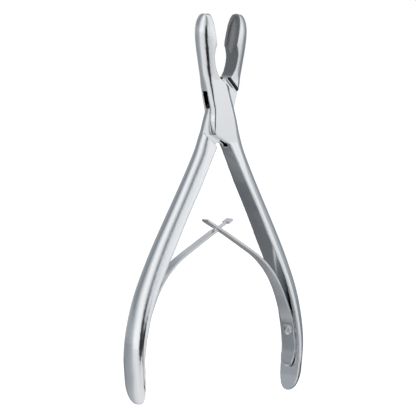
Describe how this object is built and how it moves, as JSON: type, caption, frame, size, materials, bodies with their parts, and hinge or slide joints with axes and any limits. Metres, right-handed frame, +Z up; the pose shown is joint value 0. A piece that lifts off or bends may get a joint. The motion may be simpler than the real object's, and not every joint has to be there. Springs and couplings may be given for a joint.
{
  "type": "bone rongeur",
  "caption": "Bone rongeur, open: two box-lock arms with cupped jaws, long curved handles and two interlocking leaf springs.",
  "frame": {"origin": "middle of the base of the box, under the hinge, level with the two handle ends", "axes": "+Z up the length from the handle ends to the jaws, Y along the hinge pin with the front cheek on -Y, +X to the right"},
  "size_m": [0.1036, 0.0132, 0.1773],
  "materials": {
    "satin_steel": "satin, with fine grain along the arm",
    "spring_steel": "matt, brushed along the blade",
    "fastener_steel": "turned"
  },
  "bodies": {
    "box_arm_body": {"box_arm": "satin_steel", "hinge_pin": "satin_steel", "leaf_screw_right": "fastener_steel", "leaf_locator_right": "fastener_steel"},
    "tongue_arm_body": {"tongue_arm": "satin_steel", "leaf_screw_left": "fastener_steel", "leaf_locator_left": "fastener_steel"},
    "window_leaf_body": {"window_leaf": "spring_steel"},
    "tee_leaf_body": {"tee_leaf": "spring_steel"}
  },
  "joints": [
    {"name": "jaw_pivot", "type": "hinge", "parent": "box_arm_body", "child": "tongue_arm_body", "pos_m": [0, 0, 0.1325], "axis": [0, -1, 0], "range_deg": [0, 22], "stiffness_Nm_per_rad": 1.5},
    {"name": "window_leaf_bend", "type": "hinge", "parent": "box_arm_body", "child": "window_leaf_body", "pos_m": [0.0442, 0, 0.0335], "axis": [0, 1, 0], "range_deg": [0, 11.6], "deforming": ["window_leaf"]},
    {"name": "tee_leaf_bend", "type": "hinge", "parent": "tongue_arm_body", "child": "tee_leaf_body", "pos_m": [-0.0442, 0, 0.0335], "axis": [0, -1, 0], "range_deg": [0, 11.6], "deforming": ["tee_leaf"]}
  ],
  "couplings": [
    {"joint": "window_leaf_bend", "follows": "jaw_pivot", "ratio": 0.515},
    {"joint": "tee_leaf_bend", "follows": "jaw_pivot", "ratio": 0.515}
  ]
}
